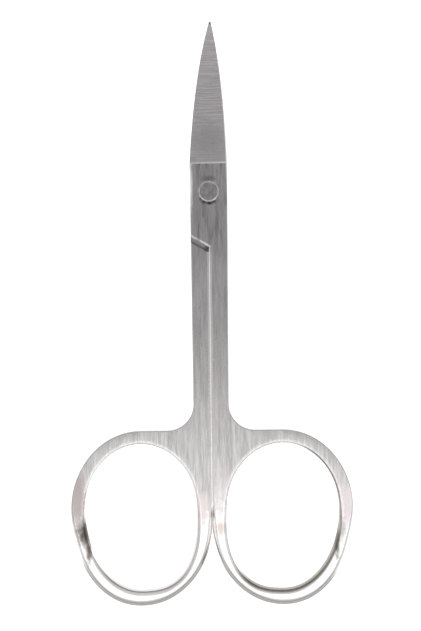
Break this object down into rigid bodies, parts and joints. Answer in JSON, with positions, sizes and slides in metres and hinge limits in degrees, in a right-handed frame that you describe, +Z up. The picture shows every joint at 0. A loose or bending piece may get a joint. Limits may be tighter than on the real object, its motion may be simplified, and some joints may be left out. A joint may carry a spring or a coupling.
{
  "type": "eyebrow scissors",
  "caption": "Small straight-bladed riveted steel scissors with oval finger rings, for trimming eyebrows. Shown closed, lying flat.",
  "frame": {"origin": "where the rivet's axis meets the flat underside that the closed scissors lie on", "axes": "+X towards the front half's finger ring, +Y along the closed blades to the tips, +Z up out of the face that shows the front blade"},
  "size_m": [0.0458, 0.0949, 0.0026],
  "materials": {
    "half_steel": "brushed blades and shanks, polished finger rings",
    "rivet_steel": "ground flush"
  },
  "bodies": {
    "back": {"back_half": "half_steel", "pivot_rivet": "rivet_steel"},
    "front": {"front_half": "half_steel"}
  },
  "joints": [
    {"name": "blade_pivot", "type": "hinge", "parent": "back", "child": "front", "pos_m": [0, 0, 0.0013], "axis": [0, 0, 1], "range_deg": [0, 138]}
  ]
}
